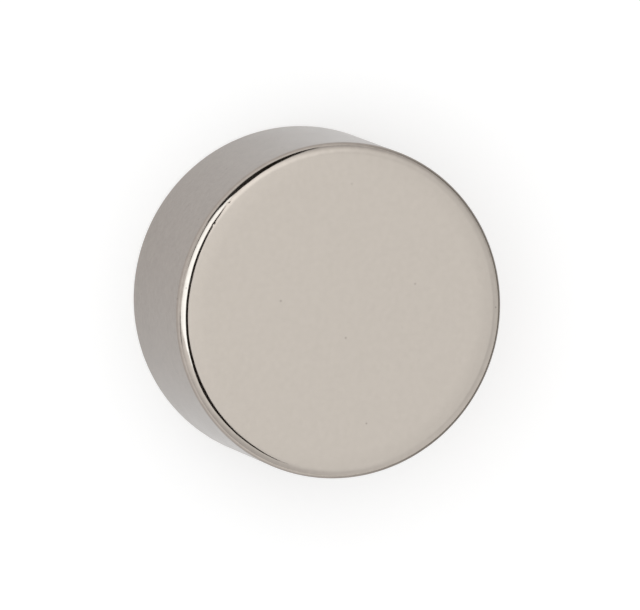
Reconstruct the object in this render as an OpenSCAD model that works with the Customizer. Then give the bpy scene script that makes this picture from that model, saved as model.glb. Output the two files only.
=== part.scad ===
// Disc magnet: one piece of sintered neodymium alloy, ground flat on both faces,
// tumbled until its rims are round, and plated with bright nickel.
// It lies on its back face, with its axis upright and its origin at that face's centre.

/* [Disc] */
// Diameter across the straight side wall, over the plating, in millimetres
disc_diameter = 20; // [8:0.5:60]
// Thickness from the back face to the working face, over the plating
disc_thickness = 10; // [4:0.5:40]

/* [Rims] */
// Radius that tumbling gives both rims
rim_radius = 0.6; // [0.1:0.05:1.5]

/* [Finish] */
// Colour of the plating
plating_colour = "#c7bfb6"; // [#c7bfb6:Bright nickel, #5f5c5a:Black nickel, #c9a24b:Gold]

/* [Hidden] */
$fn = 180;

disc_radius = disc_diameter / 2;
face_radius = disc_radius - rim_radius;         // where each flat face meets its rim
wall_height = disc_thickness - 2 * rim_radius;  // straight side wall between the rims

// The plated disc, turned about its axis.
module magnet() {
    color(plating_colour)
        rotate_extrude()
            disc_section();
}

// Half of the section through the axis. The tall rectangle ends at the flat faces,
// the wide one ends at the side wall, and a circle touches both at each rim.
module disc_section() {
    square([face_radius, disc_thickness]);
    translate([0, rim_radius])
        square([disc_radius, wall_height]);
    for (rim_height = [rim_radius, disc_thickness - rim_radius])
        translate([face_radius, rim_height])
            circle(rim_radius);
}

magnet();
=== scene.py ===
import math

import bpy
import numpy as np
from mathutils import Matrix, Vector


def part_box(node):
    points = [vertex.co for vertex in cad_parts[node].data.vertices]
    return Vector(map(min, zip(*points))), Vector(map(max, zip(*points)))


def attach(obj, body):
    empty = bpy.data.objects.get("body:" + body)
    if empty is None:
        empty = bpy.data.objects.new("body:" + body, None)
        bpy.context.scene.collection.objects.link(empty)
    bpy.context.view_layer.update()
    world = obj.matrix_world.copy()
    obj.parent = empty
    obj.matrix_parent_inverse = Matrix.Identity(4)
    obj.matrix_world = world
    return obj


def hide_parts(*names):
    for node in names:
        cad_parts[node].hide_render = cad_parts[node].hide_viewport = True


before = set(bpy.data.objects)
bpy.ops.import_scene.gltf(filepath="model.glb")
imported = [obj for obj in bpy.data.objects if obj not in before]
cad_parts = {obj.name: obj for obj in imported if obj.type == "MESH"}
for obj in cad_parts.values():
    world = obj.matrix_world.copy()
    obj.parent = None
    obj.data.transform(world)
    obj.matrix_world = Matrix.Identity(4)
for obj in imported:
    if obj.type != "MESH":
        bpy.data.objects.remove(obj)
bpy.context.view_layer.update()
mm = 0.001

scene = bpy.context.scene
scene.view_settings.view_transform = "Standard"

low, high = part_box("magnet")
discRadius = (high[0] - low[0]) / 2
discThickness = high[2] - low[2]
faceCentre = Vector((0, 0, high[2]))
print("disc", round(2 * discRadius / mm, 3), "x", round(discThickness / mm, 3), "mm")


def fromHex(code):
    # sRGB hex to linear: v / 12.92 near black, else ((v + 0.055) / 1.055) ^ 2.4
    shares = np.array([int(code[i:i + 2], 16) for i in (1, 3, 5)]) / 255
    linear = np.where(shares <= 0.04045, shares / 12.92, ((shares + 0.055) / 1.055) ** 2.4)
    return tuple(float(v) for v in linear) + (1.0,)


def addNode(tree, kind, inputs=None, **settings):
    # One node with its settings; each input is a value, or a socket to link from.
    node = tree.nodes.new("ShaderNode" + kind)
    for name, value in settings.items():
        setattr(node, name, value)
    for name, value in (inputs or {}).items():
        if isinstance(value, bpy.types.NodeSocket):
            tree.links.new(value, node.inputs[name])
        else:
            node.inputs[name].default_value = value
    return node


def newMaterial(name):
    material = bpy.data.materials.new(name)
    material.use_nodes = True
    material.node_tree.nodes.clear()
    return material, material.node_tree


def meshObject(name, points, faces, material):
    # A smooth mesh from rows of points, in metres. The object itself stays at the origin.
    mesh = bpy.data.meshes.new(name)
    mesh.from_pydata(points.tolist(), [], faces)
    mesh.shade_smooth()
    mesh.materials.append(material)
    piece = bpy.data.objects.new(name, mesh)
    scene.collection.objects.link(piece)
    return piece


def gridFaces(rows, columns):
    # Quads between the neighbours of a grid of points, row by row.
    index = np.arange(rows * columns).reshape(rows, columns)
    corners = [index[:-1, :-1], index[1:, :-1], index[1:, 1:], index[:-1, 1:]]
    return np.stack(corners, -1).reshape(-1, 4)


def smoothStep(value, start, end):
    # s * s * (3 - 2 * s), with s = (value - start) / (end - start) kept between 0 and 1.
    s = np.clip((value - start) / (end - start), 0, 1)
    return s * s * (3 - 2 * s)


# The camera looks down on the working face, turned on its side as a hand-held one is.
camera = {
    "azimuth": 0.0,         # degrees round the disc, from the -Y side
    "elevation": 71.65,     # degrees above the faces
    "roll": 111.9,          # degrees, turning the disc's axis to point right and down
    "lens": 1000.0,         # mm: so long that the disc shows hardly any perspective
    "pictureWidth": 37.76,  # mm across at the working face
    "right": 1.26,          # mm that the working face's centre lies right of the middle
    "down": 0.391,          # mm that it lies below the middle
    "clip": (0.1, 10.0),    # m, the nearest and farthest that it sees
}


def makeCamera(c):
    # Unit vectors: back points from the disc to the camera, right and up lie in the picture,
    # and all three turn by the roll about back. Distance = width * lens / sensor width.
    azimuth, elevation, roll = (math.radians(c[k]) for k in ("azimuth", "elevation", "roll"))
    back = Vector((math.sin(azimuth) * math.cos(elevation),
                   -math.cos(azimuth) * math.cos(elevation),
                   math.sin(elevation)))
    level = Vector((math.cos(azimuth), math.sin(azimuth), 0))
    tall = back.cross(level)
    right = level * math.cos(roll) + tall * math.sin(roll)
    up = back.cross(right)
    data = bpy.data.cameras.new("camera")
    data.lens = c["lens"]
    data.clip_start, data.clip_end = c["clip"]
    distance = c["pictureWidth"] * mm * c["lens"] / data.sensor_width
    aim = faceCentre - right * c["right"] * mm + up * c["down"] * mm
    turned = Matrix((right, up, back)).transposed().to_4x4()
    holder = bpy.data.objects.new("camera", data)
    holder.matrix_world = Matrix.Translation(aim + back * distance) @ turned
    scene.collection.objects.link(holder)
    scene.camera = holder
    print("camera", round(distance, 3), "m away")


makeCamera(camera)

# The studio is a white tent over white paper, with one softbox, and black cloths along its
# edges. A place on the tent is (toward, across): degrees from straight overhead towards the
# camera's side, and degrees towards +X. A brightness of 1 is white.
tent = {
    "overhead": 1.03,
    "towardSlope": -0.14,       # change from straight overhead to the horizon on the camera's side
    "acrossSlope": 0.5,         # and on the +X side
    "glows": [                  # place, width in degrees, brightness: lamps and shades behind it
        ((21.0, -27.0), 43.0, 0.50),
        ((19.0, -15.0), 14.0, 0.13),
        ((-16.0, -21.0), 14.0, -0.21),
        ((-14.0, 17.0), 10.0, -0.11),
        ((12.0, 85.0), 22.0, -0.22),
        ((-28.0, 71.0), 58.0, -0.75),
        ((-79.0, -61.0), 14.0, -0.30),
        ((-9.0, -12.0), 7.0, -0.07),
        ((-9.0, 11.0), 7.0, -0.07),
        ((-10.0, 52.0), 14.0, -0.15),
        ((-35.0, 0.0), 10.0, -0.18),
        ((-55.0, 0.0), 14.0, -0.12),
        ((-38.0, 34.0), 15.0, -0.12),
        ((-45.0, -28.0), 14.0, -0.10),
    ],
}


def onTent(toward, across):
    # A unit vector: its angle from overhead is the length of (toward, across), in degrees.
    tilt = np.radians(np.hypot(toward, across))
    turn = np.arctan2(across, toward)
    return np.stack([np.sin(tilt) * np.sin(turn), -np.sin(tilt) * np.cos(turn), np.cos(tilt)], -1)


def makeTent(t):
    # Level = overhead + slope . direction + each glow's
    # brightness * exp(-(distance from its place / width) ^ 2 / 2).
    world = bpy.data.worlds.new("tent")
    scene.world = world
    world.use_nodes = True
    tree = world.node_tree
    tree.nodes.clear()
    direction = addNode(tree, "TexCoord").outputs["Generated"]
    slope = (t["acrossSlope"], -t["towardSlope"], 0)
    lean = addNode(tree, "VectorMath", {0: direction, 1: slope},
                   operation="DOT_PRODUCT").outputs["Value"]
    level = addNode(tree, "Math", {0: lean, 1: t["overhead"]}, operation="ADD").outputs["Value"]
    for place, width, brightness in t["glows"]:
        away = addNode(tree, "VectorMath", {0: direction, 1: tuple(onTent(*place))},
                       operation="DISTANCE").outputs["Value"]
        square = addNode(tree, "Math", {0: away, 1: 2.0}, operation="POWER").outputs["Value"]
        power = addNode(tree, "Math", {0: square, 1: -0.5 / math.radians(width) ** 2},
                        operation="MULTIPLY").outputs["Value"]
        glow = addNode(tree, "Math", {0: power}, operation="EXPONENT").outputs["Value"]
        level = addNode(tree, "Math", {0: glow, 1: brightness, 2: level},
                        operation="MULTIPLY_ADD").outputs["Value"]
    cloth = addNode(tree, "Background", {"Color": (1, 1, 1, 1), "Strength": level})
    addNode(tree, "OutputWorld", {"Surface": cloth.outputs["Background"]})
    print("tent with", len(t["glows"]), "glows")


paper = {
    "colour": "#d6d5d4",
    "lift": 0.46,               # how much whiter it shows than its shading alone
    "size": 6.0,                # m
}


def makeFloor(p):
    # White paper: plain diffuse, lifted a little for the camera and for what metal and glass show.
    material, tree = newMaterial("white paper")
    path = addNode(tree, "LightPath").outputs
    seen = addNode(tree, "Math", {0: path["Is Camera Ray"], 1: path["Is Glossy Ray"]},
                   operation="ADD").outputs["Value"]
    seen = addNode(tree, "Math", {0: seen, 1: path["Is Transmission Ray"]},
                   operation="ADD").outputs["Value"]
    lift = addNode(tree, "Math", {0: seen, 1: p["lift"]}, operation="MULTIPLY").outputs["Value"]
    shaded = addNode(tree, "BsdfDiffuse", {"Color": fromHex(p["colour"])})
    white = addNode(tree, "Emission", {"Color": (1, 1, 1, 1), "Strength": lift})
    both = addNode(tree, "AddShader", {0: shaded.outputs["BSDF"], 1: white.outputs["Emission"]})
    addNode(tree, "OutputMaterial", {"Surface": both.outputs["Shader"]})
    half = p["size"] / 2
    corners = np.array([[-half, -half, 0], [half, -half, 0], [half, half, 0], [-half, half, 0]])
    meshObject("floor", corners, [[0, 1, 2, 3]], material)


panelRows = 17  # rows and columns of points in a panel, enough for it to follow its sphere


def makePanel(name, corners, distance, material):
    # A four-cornered piece of a sphere about the disc: (toward, across) runs evenly between
    # the corners, (1-a)(1-b) c0 + a(1-b) c1 + ab c2 + (1-a)b c3.
    step = np.linspace(0, 1, panelRows)
    a, b = (v[..., None] for v in np.meshgrid(step, step, indexing="ij"))
    c = np.array(corners)
    place = (1 - a) * (1 - b) * c[0] + a * (1 - b) * c[1] + a * b * c[2] + (1 - a) * b * c[3]
    points = distance * onTent(place[..., 0], place[..., 1]).reshape(-1, 3)
    panel = meshObject(name, points, gridFaces(panelRows, panelRows).tolist(), material)
    panel.visible_camera = False
    return panel


softbox = {
    "corners": [(21.3, 8.0), (12.0, 28.5), (58.5, 37.0), (59.0, -61.5)],
    "distance": 0.5,            # m
    "level": 1.76,
    "colour": "#f5fbff",
}


def makeSoftbox(s):
    material, tree = newMaterial("softbox cloth")
    cloth = addNode(tree, "Emission", {"Color": fromHex(s["colour"]), "Strength": s["level"]})
    addNode(tree, "OutputMaterial", {"Surface": cloth.outputs["Emission"]})
    makePanel("softbox", s["corners"], s["distance"], material)


blackCloths = {
    "colour": "#1f1b13",
    "distance": 0.45,           # m
    "corners": {
        "clothAboveCamera": [(30.0, -18.5), (0.0, 2.0), (-21.0, 37.0), (10.5, 35.0)],
        "clothByFloor": [(30.5, -29.5), (22.0, -96.0), (53.0, -69.0), (83.0, -19.0)],
        "clothHem": [(64.0, -22.0), (64.5, 9.0), (69.0, 9.0), (72.0, -22.0)],
        "clothCorner": [(61.0, 34.0), (58.0, 54.0), (64.0, 56.0), (66.0, 34.0)],
    },
}


def makeBlackCloths(b):
    # They are only mirrored, so they take no light from the paper.
    material, tree = newMaterial("black cloth")
    cloth = addNode(tree, "BsdfDiffuse", {"Color": fromHex(b["colour"])})
    addNode(tree, "OutputMaterial", {"Surface": cloth.outputs["BSDF"]})
    for name, corners in b["corners"].items():
        panel = makePanel(name, corners, b["distance"], material)
        panel.visible_diffuse = False
        panel.visible_shadow = False


# Painted shadow: a grey card on the paper that only the metal mirrors. It stands in for the disc's
# shadow behind it.
shadowCard = {
    "near": (5.0, 30.0),        # mm behind the disc's wall where it starts to show, and shows fully
    "far": (100.0, 200.0),      # where it starts to fade, and is gone
    "middle": 200.0,            # degrees round from the camera's side to +X
    "spread": (35.0, 95.0),     # degrees to either side where it starts to fade, and is gone
    "height": 0.2,              # mm above the paper
    "colour": "#8c8984",
    "rings": 25,                # rows of points outwards
    "spokes": 49,               # and round
}


def makeShadowCard(c):
    # A piece of a ring on the paper, only mirrored, as painted shadow: point = radius * (sin turn,
    # -cos turn).
    # Cover = smooth(near) * (1 - smooth(far)) * (1 - smooth(spread)), and the paper shows
    # where it isn't covered.
    material, tree = newMaterial("painted shadow card")
    cover = addNode(tree, "Attribute", attribute_name="cover").outputs["Fac"]
    card = addNode(tree, "BsdfDiffuse", {"Color": fromHex(c["colour"])})
    clear = addNode(tree, "BsdfTransparent")
    both = addNode(tree, "MixShader", {0: cover, 1: clear.outputs["BSDF"], 2: card.outputs["BSDF"]})
    addNode(tree, "OutputMaterial", {"Surface": both.outputs["Shader"]})
    away = np.geomspace(c["near"][0], c["far"][1], c["rings"])
    side = np.linspace(-1, 1, c["spokes"]) * c["spread"][1]
    turn = np.radians(c["middle"] + side)
    radius = discRadius + away * mm
    x = np.outer(radius, np.sin(turn))
    y = -np.outer(radius, np.cos(turn))
    points = np.stack([x, y, np.full_like(x, c["height"] * mm)], -1).reshape(-1, 3)
    panel = meshObject("shadowCard", points, gridFaces(c["rings"], c["spokes"]).tolist(), material)
    outwards = smoothStep(away, *c["near"]) * (1 - smoothStep(away, *c["far"]))
    share = np.outer(outwards, 1 - smoothStep(abs(side), *c["spread"])).reshape(-1)
    panel.data.attributes.new("cover", "FLOAT", "POINT").data.foreach_set("value", share)
    panel.visible_camera = False
    panel.visible_diffuse = False
    panel.visible_shadow = False


makeTent(tent)
makeFloor(paper)
makeSoftbox(softbox)
makeBlackCloths(blackCloths)
makeShadowCard(shadowCard)
print("studio made")

# The disc as tumbling and plating leave it. Lengths are in mm, angles in degrees.
disc = {
    "rimReach": 0.642,      # how far the rim's curve reaches in from the wall
    "rimHeight": 0.563,     # and how far down the wall
    "waver": [              # waves round the rim, start, share of the rim's reach and height
        (2, 40, 0.012), (5, 110, 0.010), (11, 230, 0.008), (27, 75, 0.006), (61, 10, 0.004),
    ],
    "faceDip": 0.071,       # how far tumbling has drawn each face down at the wall
    "dipWidth": 1.52,       # over how wide a band from the wall inwards
    "dipPower": 1.57,       # how late in that band it starts
    "crown": 0.02,          # how far each face falls, evenly rounded, from its middle to the wall
    "nicks": [              # turn from the camera's side to +X, angle over the rim, size, depth
        (-12, 13, 0.09, 0.005), (-21, 21, 0.10, 0.007),
        (38, 62, 0.09, 0.005), (151, 40, 0.10, 0.007), (-118, 28, 0.10, 0.006),
    ],
    "nickCrowd": 2.5,       # how many times closer the mesh lies at a nick
    "nickSpread": 1.6,      # and how far to either side
    "steps": 520,           # round the disc
    "rimRows": 38,
    "wallRows": 16,
    "faceRows": 26,
    "faceCrowd": 1.6,       # how much closer a face's rows lie at its rim
}


def turnSteps(d):
    # Angles round the disc from +X, closer at the nicks. Points per degree go as
    # 1 + crowd * exp(-(distance from a nick / spread) ^ 2), summed up every 0.05 degrees.
    fine = np.linspace(0, 360, 7201)
    nicks = np.array([nick[0] for nick in d["nicks"]]) - 90
    away = (fine[:, None] - nicks + 180) % 360 - 180
    density = 1 + d["nickCrowd"] * np.exp(-(away / d["nickSpread"]) ** 2).sum(1)
    count = np.concatenate([[0], np.cumsum((density[1:] + density[:-1]) / 2)])
    return np.radians(np.interp(np.arange(d["steps"]) / d["steps"] * count[-1], count, fine))


def makeDisc(d, material):
    # A half-section turned about Z. Along its rows, across = p * (R - a) + q * a and
    # height = e * T + f * b, with R the disc's radius, T its thickness, and a and b the rim's
    # reach and height, which waver round the disc. On a rim, q = sin(t) and f = 1 - cos(t),
    # t up to 90 degrees. Then each height moves towards the middle by dip * (1 - 2 * height / T),
    # dip = faceDip * ((across - R + dipWidth) / dipWidth) ^ dipPower + crown * (across / R) ^ 2.
    # A nick pushes points in by depth * exp(-(distance / size) ^ 2).
    radius, thickness = discRadius / mm, discThickness / mm
    turn = turnSteps(d)
    waver = 1 + sum(share * np.sin(waves * turn + math.radians(start))
                    for waves, start, share in d["waver"])
    reach, drop = d["rimReach"] * waver, d["rimHeight"] * waver
    t = np.linspace(0, np.pi / 2, d["rimRows"])
    outward, away = np.sin(t), 1 - np.cos(t)
    share = 1 - (1 - np.linspace(0, 1, d["faceRows"] + 1)[1:-1]) ** d["faceCrowd"]
    climb = np.linspace(0, 1, d["wallRows"] + 2)[1:-1]
    p = np.concatenate([share, np.ones(2 * len(t) + len(climb)), share[::-1]])
    q = np.concatenate([0 * share, outward, 0 * climb + 1, outward[::-1], 0 * share])
    e = np.concatenate([0 * share, 0 * t, climb, 0 * t + 1, 0 * share + 1])
    f = np.concatenate([0 * share, away, 1 - 2 * climb, -away[::-1], 0 * share])
    across = np.outer(p, radius - reach) + np.outer(q, reach)
    height = np.outer(e, np.full_like(drop, thickness)) + np.outer(f, drop)
    inBand = np.clip((across - radius + d["dipWidth"]) / d["dipWidth"], 0, 1)
    dip = d["faceDip"] * inBand ** d["dipPower"] + d["crown"] * (across / radius) ** 2
    height = height + dip * (1 - 2 * height / thickness)
    points = np.stack([across * np.cos(turn), across * np.sin(turn), height], -1).reshape(-1, 3)
    rim = d["rimHeight"]
    for angle, over, size, depth in d["nicks"]:
        angle, over = math.radians(angle - 90), math.radians(over)
        aside = np.array([math.cos(angle), math.sin(angle), 0])
        out = aside * math.sin(over) + np.array([0, 0, math.cos(over)])
        middle = aside * (radius - rim) + np.array([0, 0, thickness - rim]) + out * rim
        distance = np.linalg.norm(points - middle, axis=1)
        points = points - depth * np.exp(-(distance / size) ** 2)[:, None] * out

    # Quads along the rows, closed round the disc, and a fan of triangles at each pole.
    rows, steps = len(p), len(turn)
    index = np.arange(rows * steps).reshape(rows, steps)
    after = np.roll(index, -1, axis=1)
    quads = np.stack([index[:-1], after[:-1], after[1:], index[1:]], -1).reshape(-1, 4)
    bottomPole, topPole = rows * steps, rows * steps + 1
    below = np.stack([np.full(steps, bottomPole), after[0], index[0]], -1)
    above = np.stack([np.full(steps, topPole), index[-1], after[-1]], -1)
    points = np.concatenate([points, [[0, 0, 0], [0, 0, thickness]]]) * mm
    faces = quads.tolist() + below.tolist() + above.tolist()
    piece = meshObject("magnetDisc", points, faces, material)

    # How much of the wall's finish and of its painted shade each point has: 0 on a face, q on a rim,
    # 1 on the wall.
    wallShare = np.concatenate([np.repeat(np.where(p < 1, 0, q), steps), [0, 0]])
    piece.data.attributes.new("wallShare", "FLOAT", "POINT").data.foreach_set("value", wallShare)
    print("disc mesh", len(quads) * 2 + 2 * steps, "triangles")
    return piece


# Sizes are in mm.
nickel = {
    "faceColour": "#dcd3c9",
    # The wall's colour is darker than the face's as painted shade: it stands in for the shaded paper
    # beside the disc that the wall mirrors.
    "wallPaintedShadeColour": "#988f88",
    # A rim's lowered glancing shine is painted shade, standing in for the disc's shadow on the paper
    # behind it.
    "rimEdgePaintedShade": 0.48,        # share of its shine that a rim keeps at a glancing angle
    "wallEdge": 0.88,
    "edgeBand": (0.93, 0.99),   # shares of the wall's finish between which one turns to the other
    "faceRoughness": 0.14,
    "wallRoughness": 0.20,
    "rimPolish": 0.07,      # how much smoother tumbling has left the rims
    "mottleSize": 0.35,     # the ground grain that shows through the plating
    "mottleDetail": 2.0,    # how many times it is halved
    "mottleShare": 0.6,     # strength that each half keeps
    "faceMottle": 0.014,    # how much lighter and darker it leaves the colour
    "wallMottle": 0.06,
    "hazeSize": 3.0,        # patches that handling has dulled
    "hazeDetail": 3.0,
    "haze": 0.02,           # how much rougher and smoother they are
    "peelSize": 0.35,       # the plating's orange peel, a wave every 0.35 mm
    "peelDetail": 1.0,
    "facePeel": 0.0004,     # and its depth
    "wallPeel": 0.0012,
    "pitColour": 0.72,      # share of its colour that the bottom of a pit keeps
    "pitRoughness": 0.12,
    "pitDepth": 0.004,
    "facePits": [           # turn from the camera's side to +X, distance from the axis, radius
        (123, 1.6, 0.10), (126, 6.9, 0.09), (-139, 4.8, 0.08), (-72, 7.6, 0.07),
    ],
    "wallPits": [           # turn from the camera's side to +X, height, radius
        (-50, 7.6, 0.12), (-32, 5.6, 0.10), (-34, 6.2, 0.08), (-14, 5.2, 0.10), (-11, 8.4, 0.09),
        (2, 7.4, 0.09), (13, 3.6, 0.09), (33, 3.8, 0.08), (40, 5.3, 0.10),
    ],
    "strayApart": 2.6,      # elsewhere about one pit in each cube of this size
    "strayRadius": 0.10,
}
noiseLow, noiseHigh = 0.3, 0.7  # nearly all of a noise's values lie between these


def brightNickel(n):
    # Bright nickel plating over sintered neodymium that was ground, then tumbled. The grinding
    # and plating give a warm grey mirror, slightly blurred. The ground grain leaves the wall
    # mottled, and pores in the sintered metal leave small dark pits.
    material, tree = newMaterial("bright nickel plating")
    wall = addNode(tree, "Attribute", attribute_name="wallShare").outputs["Fac"]
    square = addNode(tree, "Math", {0: wall, 1: wall}, operation="MULTIPLY").outputs["Value"]
    place = addNode(tree, "TexCoord").outputs["Object"]
    place = addNode(tree, "VectorMath", {0: place, "Scale": 1 / mm},
                    operation="SCALE").outputs["Vector"]

    # Pit = 1 at its middle, falling to 0 at its radius: 1 - smoothstep(distance / radius).
    pores = addNode(tree, "TexVoronoi", {"Vector": place, "Scale": 1 / n["strayApart"]})
    pits = addNode(tree, "MapRange", {"Value": pores.outputs["Distance"],
                                      "From Max": n["strayRadius"] / n["strayApart"],
                                      "To Min": 1.0, "To Max": 0.0},
                   interpolation_type="SMOOTHSTEP").outputs["Result"]
    chosen = [(turn, across, discThickness / mm, size) for turn, across, size in n["facePits"]]
    chosen += [(turn, discRadius / mm, height, size) for turn, height, size in n["wallPits"]]
    for turn, across, height, size in chosen:
        angle = math.radians(turn)
        middle = (across * math.sin(angle), -across * math.cos(angle), height)
        away = addNode(tree, "VectorMath", {0: place, 1: middle},
                       operation="DISTANCE").outputs["Value"]
        pit = addNode(tree, "MapRange", {"Value": away, "From Max": size,
                                         "To Min": 1.0, "To Max": 0.0},
                      interpolation_type="SMOOTHSTEP").outputs["Result"]
        pits = addNode(tree, "Math", {0: pits, 1: pit}, operation="MAXIMUM").outputs["Value"]

    # Colour = mix(face, wall, share ^ 2) * (1 + mottle * (2 * noise - 1))
    # * (1 - pit * (1 - pitColour)). A Mix node's colours are its inputs 6 and 7 and output 2.
    # The wall's darker colour, also mixed partly into the rims, is painted shade for the shaded paper
    # that the wall mirrors.
    colour = addNode(tree, "Mix", {"Factor": square, 6: fromHex(n["faceColour"]),
                                   7: fromHex(n["wallPaintedShadeColour"])}, data_type="RGBA").outputs[2]
    grain = addNode(tree, "TexNoise", {"Vector": place, "Scale": 1 / n["mottleSize"],
                                       "Detail": n["mottleDetail"],
                                       "Roughness": n["mottleShare"]}).outputs["Fac"]
    grain = addNode(tree, "MapRange", {"Value": grain, "From Min": noiseLow, "From Max": noiseHigh,
                                       "To Min": -1.0, "To Max": 1.0}).outputs["Result"]
    mottle = addNode(tree, "MapRange", {"Value": wall, "To Min": n["faceMottle"],
                                        "To Max": n["wallMottle"]}).outputs["Result"]
    shade = addNode(tree, "Math", {0: grain, 1: mottle, 2: 1.0},
                    operation="MULTIPLY_ADD").outputs["Value"]
    hole = addNode(tree, "Math", {0: pits, 1: n["pitColour"] - 1, 2: 1.0},
                   operation="MULTIPLY_ADD").outputs["Value"]
    shade = addNode(tree, "Math", {0: shade, 1: hole}, operation="MULTIPLY").outputs["Value"]
    colour = addNode(tree, "VectorMath", {0: colour, "Scale": shade},
                     operation="SCALE").outputs["Vector"]

    # Roughness = face + (wall - face) * share - polish * 4 * share * (1 - share)
    # + haze * (2 * noise - 1) + pit * pitRoughness.
    roughness = addNode(tree, "MapRange", {"Value": wall, "To Min": n["faceRoughness"],
                                           "To Max": n["wallRoughness"]}).outputs["Result"]
    between = addNode(tree, "Math", {0: wall, 1: square}, operation="SUBTRACT").outputs["Value"]
    roughness = addNode(tree, "Math", {0: between, 1: -4 * n["rimPolish"], 2: roughness},
                        operation="MULTIPLY_ADD").outputs["Value"]
    patches = addNode(tree, "TexNoise", {"Vector": place, "Scale": 1 / n["hazeSize"],
                                         "Detail": n["hazeDetail"]}).outputs["Fac"]
    patches = addNode(tree, "MapRange", {"Value": patches,
                                         "From Min": noiseLow, "From Max": noiseHigh,
                                         "To Min": -n["haze"], "To Max": n["haze"]}).outputs["Result"]
    roughness = addNode(tree, "Math", {0: roughness, 1: patches}, operation="ADD").outputs["Value"]
    roughness = addNode(tree, "Math", {0: pits, 1: n["pitRoughness"], 2: roughness},
                        operation="MULTIPLY_ADD").outputs["Value"]

    # Height = peel * noise - pitDepth * pit, in mm.
    peel = addNode(tree, "TexNoise", {"Vector": place, "Scale": 1 / n["peelSize"],
                                      "Detail": n["peelDetail"]}).outputs["Fac"]
    depth = addNode(tree, "MapRange", {"Value": wall, "To Min": n["facePeel"],
                                       "To Max": n["wallPeel"]}).outputs["Result"]
    wave = addNode(tree, "Math", {0: peel, 1: depth}, operation="MULTIPLY").outputs["Value"]
    height = addNode(tree, "Math", {0: pits, 1: -n["pitDepth"], 2: wave},
                     operation="MULTIPLY_ADD").outputs["Value"]
    bump = addNode(tree, "Bump", {"Height": height, "Distance": mm, "Strength": 1.0})

    # At a glancing angle the shine goes from the rims' to the wall's within the edge band. The rims'
    # low glancing shine is painted shade: it darkens the far edge as the disc's shadow on the paper
    # behind it would.
    edge = addNode(tree, "MapRange", {"Value": wall,
                                      "From Min": n["edgeBand"][0], "From Max": n["edgeBand"][1],
                                      "To Min": n["rimEdgePaintedShade"], "To Max": n["wallEdge"]})
    metal = addNode(tree, "BsdfPrincipled", {"Base Color": colour, "Metallic": 1.0,
                                             "Roughness": roughness,
                                             "Specular Tint": edge.outputs["Result"],
                                             "Normal": bump.outputs["Normal"]})
    addNode(tree, "OutputMaterial", {"Surface": metal.outputs["BSDF"]})
    print("nickel material", len(tree.nodes), "nodes")
    return material


magnetDisc = makeDisc(disc, brightNickel(nickel))
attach(magnetDisc, "root")
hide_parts("magnet")
